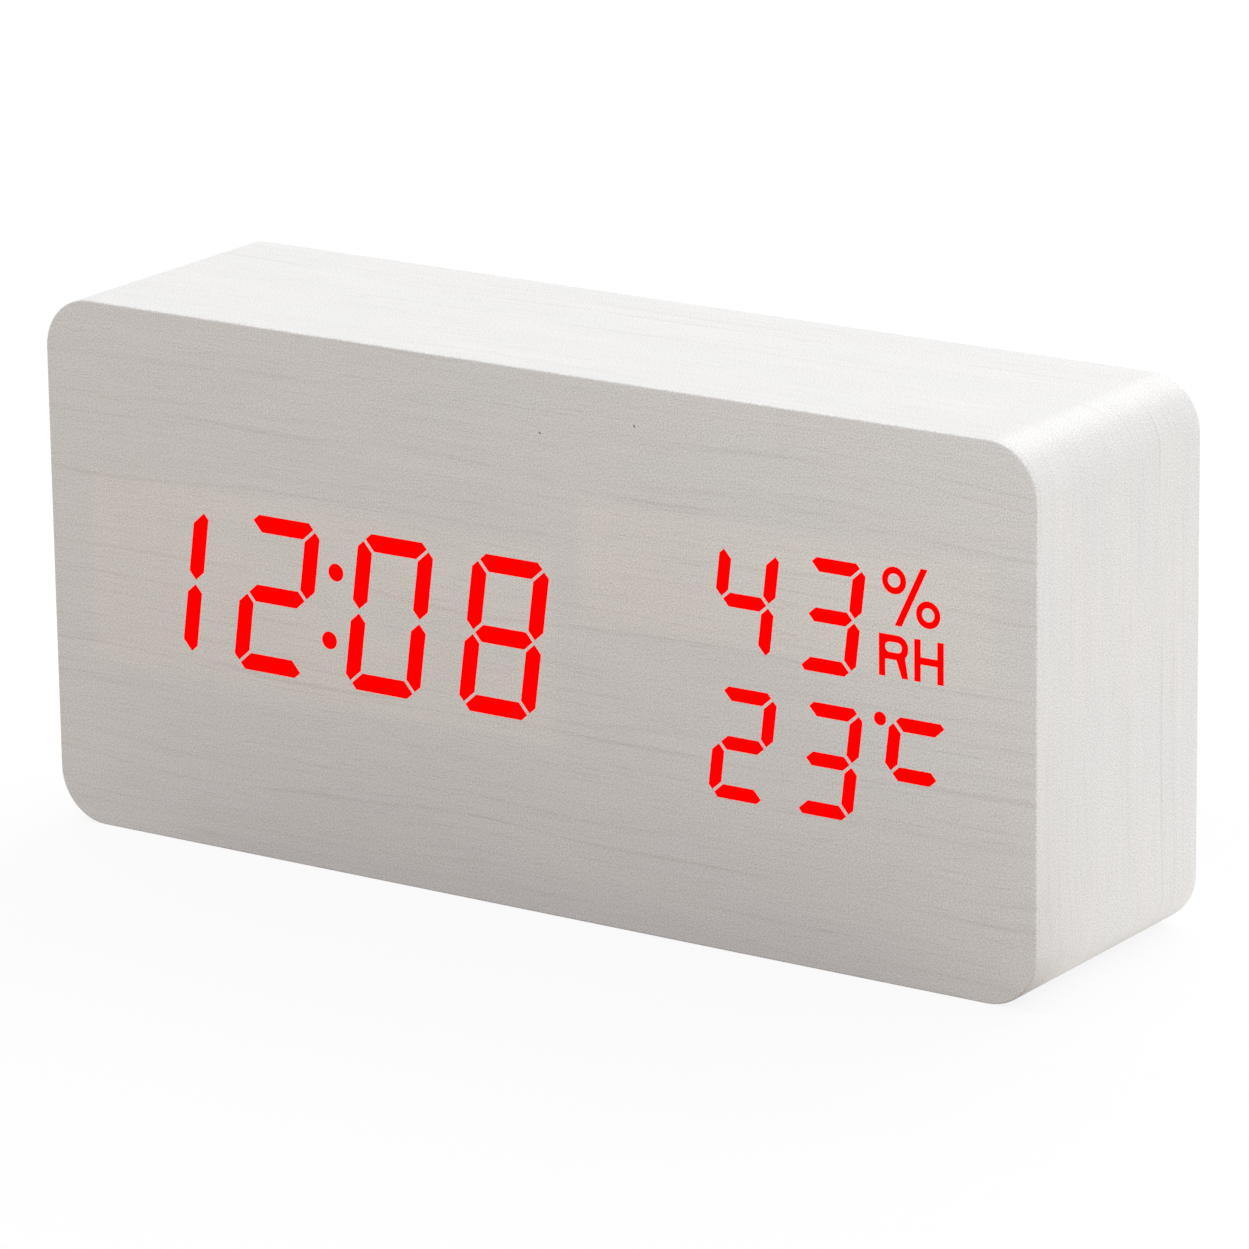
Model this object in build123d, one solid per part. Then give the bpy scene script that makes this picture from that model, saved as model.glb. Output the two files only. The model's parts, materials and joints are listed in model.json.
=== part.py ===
from build123d import *

import math
import os

# LED desk clock in a wood-look case. The origin is the middle of the base, +X runs to the right seen from
# the front, +Y to the back and +Z up. Lengths are in millimetres and angles in degrees.

# Case: a front board, a ring and a back board under a printed film
case_width = 150.0
case_height = 71.0
case_depth = 39.0
corner_radius = 7.0
film_thickness = 0.4
front_board_thickness = 5.0
back_board_thickness = 6.0
ring_wall = 7.0
ring_inner_radius = 3.0

# Clearances, and how far a cut runs past the face that it leaves
seat_clearance = 0.2
slide_clearance = 0.25
pin_clearance = 0.05
thread_clearance = 0.05
overrun = 1.0

# Time digits. The readings fill the front, so their places and sizes are shares of its width and height.
time_digit_count = 4
time_center_share = -0.198
time_pitch_share = 0.1185
time_width_share = 0.0783
time_height_share = 0.2965
time_rise = 0.15
time_stroke = 2.3
time_tip = 0.8
time_slant = 7.9
colon_spacing_share = 0.437
colon_diameter = 2.35
segment_gap = 0.42

# Humidity and temperature digits, in two rows with their unit signs at the right
climate_digit_count = 2
climate_first_share = 0.22
climate_pitch_share = 0.0832
climate_width_share = 0.0581
climate_height_share = 0.2055
climate_spacing_share = 0.26
climate_rise = 0.95
climate_row_offset = 0.5
climate_stroke = 1.8
climate_tip = 0.6
climate_slant = 7.0
degree_diameter = 1.75
degree_across_share = -0.393
degree_rise_share = 0.457

# Per cent sign and the two letters below it. Heights are shares of a small digit's height.
sign_share = 0.382
percent_rise_share = 0.284
percent_ring_diameter = 3.45
percent_ring_stroke = 0.85
percent_ring_spread_x = 4.85
percent_ring_spread_z = 3.65
percent_height_share = 0.526
percent_slash_run = 3.7
percent_slash_stroke = 1.0
letter_height_share = 0.367
letter_width = 4.2
letter_gap = 0.85
letter_stroke = 0.92
letter_round_share = 0.48
letter_drop_share = 0.429

# Display stack behind the film: diffuser, segment mask and circuit board with its lamps
mask_border = 2.2
diffuser_thickness = 0.3
circuit_thickness = 1.6
circuit_clearance = 0.6
circuit_screw_inset = 4.0
lamp_side = 1.0
lamp_height = 0.6
lamp_spread = 1.9
sign_cell_border = 0.6

# Parts on the back of the display board
chip_gap = 0.1
chip_leg_width = 0.45
chip_leg_pitch = 1.27
chip_leg_reach = 1.2
driver_length = 18.0
driver_width = 7.5
driver_height = 2.3
driver_leg_count = 14
controller_length = 13.0
controller_width = 7.5
controller_height = 2.3
controller_x = 2.0
controller_leg_count = 10
crystal_diameter = 2.0
crystal_length = 6.0
crystal_gap = 0.05
crystal_drop = 8.0
capacitor_diameter = 6.0
capacitor_height = 7.0
capacitor_inset = 17.0
capacitor_drop = 14.0

# Rear panel: a moulded plate with the battery bay and the control recess
panel_thickness = 3.0
panel_flange = 5.0
panel_radius = 4.0
panel_gap = 2.0
panel_edge_chamfer = 0.3
bay_wall = 1.5
bay_rib_height = 2.2
bay_rib_thickness = 0.8
control_width = 42.0
recess_depth = 1.4
recess_radius = 3.0
boss_diameter = 5.0
boss_inset = 3.0

# Battery cells, their contacts and the hinged door
cell_count = 3
cell_diameter = 10.5
cell_length = 44.5
cell_spacing = 0.5
cell_floor_gap = 0.2
cell_door_gap = 0.4
cell_nub_diameter = 3.8
cell_nub_height = 0.9
cell_edge_radius = 0.5
contact_thickness = 0.4
contact_width = 7.0
contact_height = 9.0
spring_reach = 3.0
spring_foot = 6.4
spring_top = 2.0
spring_width = 5.0
tail_width = 3.0
tail_length = 1.8
door_thickness = 2.4
door_ledge = 0.9
door_seat_gap = 0.2
door_pin_diameter = 1.4
door_pin_reach = 1.2
door_socket_spare = 0.3
door_groove_count = 4
door_groove_pitch = 1.8
door_groove_width = 0.8
door_groove_depth = 0.5
door_groove_length = 16.0
door_groove_drop = 3.2
door_edge_radius = 0.4
notch_radius = 7.0
notch_depth = 1.5

# Buttons and the switches below them
button_names = ("set", "up", "down")
button_pitch = 13.0
button_row_z = 8.0
button_length = 9.0
button_width = 5.0
button_proud = 1.1
button_edge_radius = 0.4
button_flange = 1.0
button_flange_thickness = 0.8
button_nose_diameter = 3.0
button_nose_height = 0.6
symbol_size = 2.4
symbol_depth = 0.25
button_travel = 0.5
switch_side = 6.0
switch_height = 3.4
plunger_diameter = 3.4
plunger_proud = 1.0
plunger_bore = 1.8
plunger_spare = 0.1

# Inlet, sensor, buzzer and microphone on the control board, with insets from the control recess's sides
inlet_width = 7.5
inlet_height = 2.9
inlet_chamfer = 0.9
inlet_wall = 0.3
inlet_setback = 0.3
inlet_z = -13.0
inlet_base = 1.6
tongue_width = 3.8
tongue_thickness = 0.7
tongue_rise = 0.45
tongue_setback = 1.0
sensor_width = 12.0
sensor_length = 9.0
sensor_height = 3.6
sensor_inset = 11.0
sensor_z = -3.0
sensor_slot_count = 4
sensor_slot_pitch = 2.0
sensor_slot_width = 0.9
sensor_slot_length = 9.0
sensor_slot_depth = 1.0
buzzer_diameter = 12.0
buzzer_height = 5.0
buzzer_inset = 10.0
buzzer_z = -4.0
buzzer_hole_diameter = 2.0
buzzer_hole_depth = 1.0
sound_hole_diameter = 1.4
sound_hole_circle_diameter = 7.0
sound_hole_count = 6
microphone_diameter = 6.0
microphone_height = 2.6
microphone_felt_diameter = 4.4
microphone_felt_depth = 0.3
microphone_inset = 10.0
microphone_z = -13.0
microphone_hole_diameter = 1.5

# Flat cable between the boards, and the battery leads
link_width = 9.0
link_thickness = 0.3
link_rise = 8.0
link_bend_share = 0.8
socket_length = 13.0
socket_width = 4.0
socket_height = 5.0
socket_wall = 1.0
lead_diameter = 1.2
lead_bend = 2.4
lead_inset = 4.0

# Screws
screw_head_diameter = 3.6
screw_head_height = 1.5
screw_head_radius = 0.5
screw_shank_diameter = 2.0
screw_cross_length = 2.2
screw_cross_width = 0.5
screw_cross_depth = 0.8
panel_screw_inset = 2.7
panel_screw_sink = 1.7
panel_screw_length = 3.8
circuit_screw_length = 5.0
control_screw_length = 5.4

# Planes from the front to the back
front_face_y = -case_depth / 2
film_back_y = front_face_y + film_thickness
mask_front_y = film_back_y + diffuser_thickness
circuit_front_y = film_back_y + front_board_thickness
circuit_back_y = circuit_front_y + circuit_thickness
back_face_y = case_depth / 2
back_board_back_y = back_face_y - film_thickness
back_board_front_y = back_board_back_y - back_board_thickness
panel_front_y = back_face_y - panel_thickness
recess_floor_y = back_face_y - recess_depth
door_front_y = back_face_y - door_thickness
ledge_y = door_front_y - door_seat_gap
cell_y = door_front_y - cell_door_gap - cell_diameter / 2
bay_floor_y = cell_y - cell_diameter / 2 - cell_floor_gap
bay_front_y = bay_floor_y - bay_wall
plunger_top_y = panel_front_y - button_flange_thickness - button_nose_height
switch_top_y = plunger_top_y - plunger_proud
control_back_y = switch_top_y - switch_height
control_front_y = control_back_y - circuit_thickness

# Places and sizes that follow from the values above
middle_z = case_height / 2
cavity_width = case_width - 2 * (film_thickness + ring_wall)
cavity_height = case_height - 2 * (film_thickness + ring_wall)
circuit_width = cavity_width - 2 * circuit_clearance
circuit_height = cavity_height - 2 * circuit_clearance
time_z = middle_z + time_rise
time_center_x = time_center_share * case_width
time_pitch = time_pitch_share * case_width
time_digit_width = time_width_share * case_width
time_digit_height = time_height_share * case_height
colon_spacing = colon_spacing_share * time_digit_height
humidity_row = 1
temperature_row = -1
climate_first_x = climate_first_share * case_width
climate_pitch = climate_pitch_share * case_width
climate_digit_width = climate_width_share * case_width
climate_digit_height = climate_height_share * case_height
climate_row_spacing = climate_spacing_share * case_height
degree_offset_x = degree_across_share * climate_pitch
degree_offset_z = degree_rise_share * climate_digit_height
sign_x = sign_share * case_width
percent_offset_z = percent_rise_share * climate_digit_height
percent_slash_height = percent_height_share * climate_digit_height
letter_height = letter_height_share * climate_digit_height
letter_drop = letter_drop_share * climate_digit_height
driver_x = time_center_x
capacitor_x = circuit_width / 2 - capacitor_inset
cell_pitch = cell_diameter + cell_spacing
bay_length = cell_length + spring_reach + 2 * contact_thickness
bay_height = cell_count * cell_pitch
bay_outer_length = bay_length + 2 * bay_wall
bay_outer_height = bay_height + 2 * bay_wall
panel_inner_width = bay_outer_length + control_width + 3 * panel_gap
panel_inner_height = bay_outer_height + 2 * panel_gap
panel_width = panel_inner_width + 2 * panel_flange
panel_height = panel_inner_height + 2 * panel_flange
bay_x = -panel_inner_width / 2 + panel_gap + bay_outer_length / 2
control_x = panel_inner_width / 2 - panel_gap - control_width / 2
control_height = bay_outer_height
sensor_x = sensor_inset - control_width / 2
buzzer_x = control_width / 2 - buzzer_inset
microphone_x = microphone_inset - control_width / 2
door_width = bay_length + 2 * door_ledge
door_height = bay_height + 2 * door_ledge
hinge_y = back_face_y - door_thickness / 2
hinge_z = middle_z - door_height / 2 + door_thickness / 2

# The bars of a seven-segment digit that light for each sign
lit_bars = {
    "0": "abcdef",
    "1": "bc",
    "2": "abged",
    "3": "abgcd",
    "4": "fgbc",
    "8": "abcdefg",
    "C": "afg",
    "all": "abcdefg",
}


def slab(outline, near, far):
    """Thicken an outline drawn in X and Z from one depth to another."""
    return extrude(Plane.XZ.offset(-far) * outline, amount=far - near)


def along_x(outline, left, right):
    """Thicken an outline drawn in Y and Z from one side to another."""
    return extrude(Plane.YZ.offset(left) * outline, amount=right - left)


def at(x, z, outline):
    """Move an outline to its place in X and Z."""
    return Pos(x, z) * outline


def group(shapes):
    """Hold separate solids together in one node."""
    return Compound([solid for shape in shapes for solid in shape.solids()])


def corners(half_x, half_z):
    """The four corners of a rectangle about its middle."""
    return [(x, z) for x in (-half_x, half_x) for z in (-half_z, half_z)]


def polygon(points):
    """A face on corner points given in either turning sense."""
    pairs = zip(points, points[1:] + points[:1])
    turn = sum(x0 * z1 - x1 * z0 for (x0, z0), (x1, z1) in pairs)
    return Polygon(points if turn > 0 else points[::-1])


def digit_bars(width, height, stroke, tip):
    """Corner points of the seven bars of an upright digit about its middle."""
    half_width = width / 2
    lean = segment_gap / math.sqrt(2)
    reach = half_width - lean
    rise = height / 2 - lean
    end = [
        (reach - 2 * tip, height / 2),
        (reach - tip, height / 2 - tip),
        (reach - stroke, height / 2 - stroke),
    ]
    point = [
        (reach - stroke, stroke / 2),
        (reach - stroke / 2, 0),
        (reach - stroke, -stroke / 2),
    ]
    upright = [
        (half_width, rise - 2 * tip),
        (half_width - tip, rise - tip),
        (half_width - stroke, rise - stroke),
        (half_width - stroke, lean + stroke / 2),
        (half_width - stroke / 2, lean),
        (half_width, lean + stroke / 2),
    ]
    across = end + [(-x, z) for x, z in reversed(end)]
    return {
        "a": across,
        "b": upright,
        "c": [(x, -z) for x, z in upright],
        "d": [(x, -z) for x, z in across],
        "e": [(-x, -z) for x, z in upright],
        "f": [(-x, z) for x, z in upright],
        "g": point + [(-x, z) for x, z in reversed(point)],
    }


def leaning(points, slant):
    """Lean points drawn about a digit's middle to the right."""
    return [(x + z * math.tan(math.radians(slant)), z) for x, z in points]


def time_bars(sign, place):
    """The lit bars of one of the four large digits."""
    bars = digit_bars(time_digit_width, time_digit_height, time_stroke, time_tip)
    x = time_center_x + (place - (time_digit_count - 1) / 2) * time_pitch
    return [at(x, time_z, polygon(leaning(bars[name], time_slant))) for name in lit_bars[sign]]


def climate_place(row, place):
    """The middle of a small digit: the upper row stands a little to the right of the lower one."""
    x = climate_first_x + place * climate_pitch + row * climate_row_offset / 2
    return x, middle_z + climate_rise + row * climate_row_spacing / 2


def climate_bars(sign, row, place):
    """The lit bars of one small digit."""
    bars = digit_bars(climate_digit_width, climate_digit_height, climate_stroke, climate_tip)
    middle = climate_place(row, place)
    return [at(*middle, polygon(leaning(bars[name], climate_slant))) for name in lit_bars[sign]]


def colon_dots():
    """The two dots between hours and minutes."""
    dots = leaning([(0, colon_spacing / 2), (0, -colon_spacing / 2)], time_slant)
    return [at(time_center_x + x, time_z + z, Circle(colon_diameter / 2)) for x, z in dots]


def degree_dot():
    """The dot before the temperature's letter."""
    x, z = climate_place(temperature_row, climate_digit_count)
    return at(x + degree_offset_x, z + degree_offset_z, Circle(degree_diameter / 2))


def sign_place(offset_z):
    """A place in the column of signs, counted from the middle of the humidity row."""
    return sign_x, climate_place(humidity_row, 0)[1] + offset_z


def percent_sign():
    """Two rings and a slash between them."""
    outer = percent_ring_diameter / 2
    ring = Circle(outer) - Circle(outer - percent_ring_stroke)
    x, z = sign_place(percent_offset_z)
    rings = [
        at(x - percent_ring_spread_x / 2, z + percent_ring_spread_z / 2, ring),
        at(x + percent_ring_spread_x / 2, z - percent_ring_spread_z / 2, ring),
    ]
    half_run = percent_slash_run / 2
    half_stroke = percent_slash_stroke / 2
    half_height = percent_slash_height / 2
    slash = [
        (-half_run - half_stroke, -half_height),
        (-half_run + half_stroke, -half_height),
        (half_run + half_stroke, half_height),
        (half_run - half_stroke, half_height),
    ]
    return rings + [at(x, z, polygon(slash))]


def letter_r():
    """An upright R on its lower left corner."""
    bowl_height = letter_height / 2 + letter_stroke / 2
    bowl_z = letter_height - bowl_height / 2
    bowl_round = letter_round_share * bowl_height
    bowl = at(letter_width / 2, bowl_z, RectangleRounded(letter_width, bowl_height, bowl_round))
    square = at(letter_width / 4, bowl_z, Rectangle(letter_width / 2, bowl_height))
    counter_height = bowl_height - 2 * letter_stroke
    counter_width = letter_width - 2 * letter_stroke
    counter = RectangleRounded(counter_width, counter_height, letter_round_share * counter_height)
    stem = at(letter_stroke / 2, letter_height / 2, Rectangle(letter_stroke, letter_height))
    foot_z = letter_height - bowl_height + letter_stroke / 2
    leg = [
        (letter_width - letter_stroke, 0),
        (letter_width, 0),
        (letter_width - letter_stroke / 2, foot_z),
        (letter_width - 2 * letter_stroke, foot_z),
    ]
    return bowl + square + stem + polygon(leg) - at(letter_width / 2, bowl_z, counter)


def letter_h():
    """An upright H on its lower left corner."""
    stem = Rectangle(letter_stroke, letter_height)
    left = at(letter_stroke / 2, letter_height / 2, stem)
    right = at(letter_width - letter_stroke / 2, letter_height / 2, stem)
    bar = at(letter_width / 2, letter_height / 2, Rectangle(letter_width, letter_stroke))
    return left + right + bar


def humidity_letters():
    """The two letters below the per cent sign."""
    x, z = sign_place(-letter_drop)
    left = x - letter_gap / 2 - letter_width
    return [at(left, z, letter_r()), at(left + letter_width + letter_gap, z, letter_h())]


def lit_patches():
    """Outlines of the film patches that glow at this reading, by node."""
    return {
        "hour_tens_glow": time_bars("1", 0),
        "hour_units_glow": time_bars("2", 1),
        "colon_glow": colon_dots(),
        "minute_tens_glow": time_bars("0", 2),
        "minute_units_glow": time_bars("8", 3),
        "humidity_tens_glow": climate_bars("4", humidity_row, 0),
        "humidity_units_glow": climate_bars("3", humidity_row, 1),
        "humidity_sign_glow": percent_sign() + humidity_letters(),
        "temperature_tens_glow": climate_bars("2", temperature_row, 0),
        "temperature_units_glow": climate_bars("3", temperature_row, 1),
        "temperature_sign_glow": climate_bars("C", temperature_row, climate_digit_count) + [degree_dot()],
    }


def case_outline(inset):
    """The case seen from the front, drawn in by an inset all round."""
    width = case_width - 2 * inset
    height = case_height - 2 * inset
    return at(0, middle_z, RectangleRounded(width, height, corner_radius - inset))


def sign_cells():
    """Plain light boxes behind the per cent sign and the letters."""
    width = 2 * letter_width + letter_gap + 2 * sign_cell_border
    percent_height = percent_slash_height + 2 * sign_cell_border
    letters_height = letter_height + 2 * sign_cell_border
    return [
        at(*sign_place(percent_offset_z), Rectangle(width, percent_height)),
        at(*sign_place(letter_height / 2 - letter_drop), Rectangle(width, letters_height)),
    ]


def time_bar_cells():
    """The light cells of the four large digits."""
    return [cell for place in range(time_digit_count) for cell in time_bars("all", place)]


def time_cells():
    """All the light cells behind the time."""
    return time_bar_cells() + colon_dots()


def climate_cells():
    """All the light cells behind humidity and temperature."""
    cells = sign_cells() + [degree_dot()] + climate_bars("all", temperature_row, climate_digit_count)
    for row in (humidity_row, temperature_row):
        for place in range(climate_digit_count):
            cells += climate_bars("all", row, place)
    return cells


def mask_outline(cells, border):
    """A rectangle round a set of light cells."""
    boxes = [cell.bounding_box() for cell in cells]
    left = min(box.min.X for box in boxes) - border
    right = max(box.max.X for box in boxes) + border
    low = min(box.min.Y for box in boxes) - border
    high = max(box.max.Y for box in boxes) + border
    return at((left + right) / 2, (low + high) / 2, Rectangle(right - left, high - low))


def lamps(cells, spread):
    """One small lamp in a cell, or two in a long one."""
    lamp = Rectangle(lamp_side, lamp_side)
    places = []
    for cell in cells:
        box = cell.bounding_box()
        middle = box.center()
        wide = box.size.X > box.size.Y
        for side in (-spread, spread) if spread else (0,):
            places.append((middle.X + side, middle.Y) if wide else (middle.X, middle.Y + side))
    return group(slab(at(x, z, lamp), circuit_front_y - lamp_height, circuit_front_y) for x, z in places)


def screw(x, z, seat, tip):
    """A pan-head screw from its seat plane to its tip."""
    sense = 1 if tip < seat else -1
    top = seat + sense * screw_head_height
    head = slab(at(x, z, Circle(screw_head_diameter / 2)), min(seat, top), max(seat, top))
    rim = head.edges().sort_by(Axis.Y)[-1 if sense > 0 else 0]
    head = fillet(rim, screw_head_radius)
    slot = Rectangle(screw_cross_length, screw_cross_width)
    cross = slot + Rot(0, 0, 90) * slot
    floor = top - sense * screw_cross_depth
    past = top + sense * overrun
    shank = slab(at(x, z, Circle(screw_shank_diameter / 2)), min(seat, tip), max(seat, tip))
    return head + shank - slab(at(x, z, cross), min(floor, past), max(floor, past))


def screw_hole(x, z, near, far):
    """The hole that a screw's shank goes into."""
    return slab(at(x, z, Circle(screw_shank_diameter / 2 + thread_clearance)), near, far)


def circuit_screw_places():
    """Where the display board is screwed on, midway between the climate mask and the board's edges."""
    half_x = circuit_width / 2 - circuit_screw_inset
    half_z = circuit_height / 2
    mask = mask_outline(climate_cells(), mask_border).bounding_box()
    low = (mask.min.Y + middle_z - half_z) / 2
    high = (mask.max.Y + middle_z + half_z) / 2
    return [(x, z) for x in (-half_x, half_x) for z in (low, high)]


def panel_screw_places():
    """Where the rear panel is screwed to the back board."""
    half_x = panel_width / 2 - panel_screw_inset
    half_z = panel_height / 2 - panel_screw_inset
    return [(x, middle_z + z) for x, z in corners(half_x, half_z)]


def control_screw_places():
    """Where the control board is screwed to the rear panel's bosses."""
    half_x = control_width / 2 - boss_inset
    half_z = control_height / 2 - boss_inset
    return [(control_x + x, middle_z + z) for x, z in corners(half_x, half_z)]


def case_pieces():
    """The two boards, the ring and the three films."""
    core = case_outline(film_thickness)
    cavity = at(0, middle_z, RectangleRounded(cavity_width, cavity_height, ring_inner_radius))
    panel_hole = panel_outline(seat_clearance)
    windows = [
        mask_outline(cells, mask_border + seat_clearance) for cells in (time_cells(), climate_cells())
    ]
    front_board = slab(core - windows, film_back_y, circuit_front_y)
    circuit_tip_y = circuit_back_y - circuit_screw_length
    for x, z in circuit_screw_places():
        front_board -= screw_hole(x, z, circuit_tip_y, circuit_front_y + overrun)
    back_board = slab(core, back_board_front_y, back_board_back_y)
    back_board -= slab(panel_hole, panel_front_y, back_board_back_y + overrun)
    through = at(0, middle_z, RectangleRounded(panel_inner_width, panel_inner_height, panel_radius))
    back_board -= slab(through, back_board_front_y - overrun, panel_front_y + overrun)
    panel_tip_y = back_face_y - panel_screw_sink - panel_screw_length
    for x, z in panel_screw_places():
        back_board -= screw_hole(x, z, panel_tip_y, panel_front_y + overrun)
    patches = [patch for outlines in lit_patches().values() for patch in outlines]
    return {
        "front_board": front_board,
        "case_ring": slab(core - cavity, circuit_front_y, back_board_front_y),
        "back_board": back_board,
        "front_film": slab(case_outline(0) - patches, front_face_y, film_back_y),
        "wrap_film": slab(case_outline(0) - core, film_back_y, back_board_back_y),
        "back_film": slab(case_outline(0) - panel_hole, back_board_back_y, back_face_y),
    }


def display_pieces():
    """Glowing patches, diffusers, masks, lamps and the display board."""
    pieces = {}
    for name, outlines in lit_patches().items():
        pieces[name] = group(slab(outline, front_face_y, film_back_y) for outline in outlines)
    for name, cells in (("time", time_cells()), ("climate", climate_cells())):
        outline = mask_outline(cells, mask_border)
        pieces[name + "_diffuser"] = slab(outline, film_back_y, mask_front_y)
        pieces[name + "_mask"] = slab(outline - cells, mask_front_y, circuit_front_y)
    pieces["time_lamps"] = group([lamps(time_bar_cells(), lamp_spread), lamps(colon_dots(), 0)])
    pieces["climate_lamps"] = lamps(climate_cells(), 0)
    sheet = at(0, middle_z, RectangleRounded(circuit_width, circuit_height, ring_inner_radius))
    board = slab(sheet, circuit_front_y, circuit_back_y)
    for x, z in circuit_screw_places():
        board -= screw_hole(x, z, circuit_front_y - overrun, circuit_back_y + overrun)
    pieces["display_board"] = board
    tip = circuit_back_y - circuit_screw_length
    screws = [screw(x, z, circuit_back_y, tip) for x, z in circuit_screw_places()]
    pieces["display_board_screws"] = group(screws)
    return pieces


def chip(x, length, width, height, leg_count):
    """A flat chip with legs along both long sides, on the back of the display board."""
    body_front = circuit_back_y + chip_gap
    body = slab(at(x, middle_z, Rectangle(length, width)), body_front, body_front + height)
    leg = Rectangle(chip_leg_width, width + 2 * chip_leg_reach)
    for index in range(leg_count):
        leg_x = x + (index - (leg_count - 1) / 2) * chip_leg_pitch
        body += slab(at(leg_x, middle_z, leg), circuit_back_y, body_front + height / 2)
    return body


def display_parts():
    """Chips, crystal and capacitor on the back of the display board."""
    crystal_y = circuit_back_y + crystal_gap + crystal_diameter / 2
    crystal = at(crystal_y, middle_z - crystal_drop, Circle(crystal_diameter / 2))
    capacitor = at(capacitor_x, middle_z - capacitor_drop, Circle(capacitor_diameter / 2))
    left = controller_x - crystal_length / 2
    driver = (driver_x, driver_length, driver_width, driver_height, driver_leg_count)
    controller = (controller_x, controller_length, controller_width, controller_height, controller_leg_count)
    return {
        "driver_chip": chip(*driver),
        "clock_chip": chip(*controller),
        "clock_crystal": along_x(crystal, left, left + crystal_length),
        "smoothing_capacitor": slab(capacitor, circuit_back_y, circuit_back_y + capacitor_height),
    }


def panel_outline(margin):
    """The rear panel's rim, or the hole that it drops into."""
    width = panel_width + 2 * margin
    height = panel_height + 2 * margin
    return at(0, middle_z, RectangleRounded(width, height, panel_radius + margin))


def bay_rectangle(margin):
    """The battery bay seen from behind, with a margin all round."""
    return at(bay_x, middle_z, Rectangle(bay_length + 2 * margin, bay_height + 2 * margin))


def cell_z(index):
    """Height of a battery cell's axis, counted from the top."""
    return middle_z + ((cell_count - 1) / 2 - index) * cell_pitch


def cell_sense(index):
    """Which way a cell's nub points: cells lie head to tail."""
    return 1 if index % 2 == 0 else -1


def button_place(index):
    """Middle of a button, counted from the +X side."""
    return control_x + (1 - index) * button_pitch, middle_z + button_row_z


def inlet_outline(inset):
    """A wide socket mouth with its two lower corners cut off."""
    half_x = inlet_width / 2 - inset
    half_z = inlet_height / 2 - inset
    points = [
        (-half_x, half_z),
        (-half_x, -half_z + inlet_chamfer),
        (-half_x + inlet_chamfer, -half_z),
        (half_x - inlet_chamfer, -half_z),
        (half_x, -half_z + inlet_chamfer),
        (half_x, half_z),
    ]
    return at(control_x, middle_z + inlet_z, polygon(points))


def sensor_slots(length):
    """Slots in a row in front of the climate sensor."""
    first = -(sensor_slot_count - 1) / 2
    slot = SlotOverall(length, sensor_slot_width)
    x = control_x + sensor_x
    z = middle_z + sensor_z
    return [at(x, z + (first + index) * sensor_slot_pitch, slot) for index in range(sensor_slot_count)]


def sound_holes():
    """A ring of small holes and one in the middle, over the buzzer."""
    hole = Circle(sound_hole_diameter / 2)
    ring = PolarLocations(sound_hole_circle_diameter / 2, sound_hole_count)
    holes = [place * hole for place in ring] + [hole]
    return [at(control_x + buzzer_x, middle_z + buzzer_z, outline) for outline in holes]


def tail_end(index):
    """Inner face of the bay's end wall behind a cell's free terminal, and the way into the bay."""
    side = 1 if index == 0 else -1
    return bay_x + side * bay_length / 2, -side


def tail_slot(index, margin):
    """Outline of a contact's solder tail, or of its slot, in X and Z."""
    wall, inward = tail_end(index)
    length = contact_thickness + margin
    return at(wall + inward * length / 2, cell_z(index), Rectangle(length, tail_width + 2 * margin))


def rear_panel():
    """The moulded panel with its battery bay, control recess, bosses and holes."""
    plate = slab(panel_outline(0), panel_front_y, back_face_y)
    panel = chamfer(plate.faces().sort_by(Axis.Y)[-1].edges(), panel_edge_chamfer)
    panel += slab(bay_rectangle(bay_wall), bay_front_y, ledge_y)
    panel -= slab(bay_rectangle(door_ledge + slide_clearance), ledge_y, back_face_y + overrun)
    panel -= slab(bay_rectangle(0), bay_floor_y, back_face_y + overrun)
    for index in range(cell_count - 1):
        rib_z = (cell_z(index) + cell_z(index + 1)) / 2
        rib = at(bay_x, rib_z, Rectangle(cell_length - 2 * spring_reach, bay_rib_thickness))
        panel += slab(rib, bay_front_y, bay_floor_y + bay_rib_height)
    for index in (0, cell_count - 1):
        panel -= slab(tail_slot(index, seat_clearance), bay_front_y - overrun, bay_floor_y + overrun)
    socket_outline = at(hinge_y, hinge_z, Circle(door_pin_diameter / 2 + pin_clearance))
    socket_reach = door_width / 2 + door_pin_reach + slide_clearance + door_socket_spare
    panel -= along_x(socket_outline, bay_x - socket_reach, bay_x + socket_reach)
    notch = at(bay_x, middle_z + door_height / 2, Circle(notch_radius))
    panel -= slab(notch, back_face_y - notch_depth, back_face_y + overrun)
    recess = RectangleRounded(control_width, control_height, recess_radius)
    panel -= slab(at(control_x, middle_z, recess), recess_floor_y, back_face_y + overrun)
    slot = SlotOverall(button_length + 2 * slide_clearance, button_width + 2 * slide_clearance)
    microphone_hole = Circle(microphone_hole_diameter / 2)
    openings = [at(*button_place(index), slot) for index in range(len(button_names))]
    openings += [inlet_outline(-seat_clearance)]
    openings += [at(control_x + microphone_x, middle_z + microphone_z, microphone_hole)]
    openings += sensor_slots(sensor_slot_length) + sound_holes()
    for outline in openings:
        panel -= slab(outline, panel_front_y - overrun, recess_floor_y + overrun)
    for x, z in control_screw_places():
        panel += slab(at(x, z, Circle(boss_diameter / 2)), control_back_y, panel_front_y)
        panel -= screw_hole(x, z, control_back_y - overrun, control_front_y + control_screw_length)
    sink = Circle(screw_head_diameter / 2 + seat_clearance)
    for x, z in panel_screw_places():
        panel -= screw_hole(x, z, panel_front_y - overrun, back_face_y)
        panel -= slab(at(x, z, sink), back_face_y - panel_screw_sink, back_face_y + overrun)
    return panel


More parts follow.
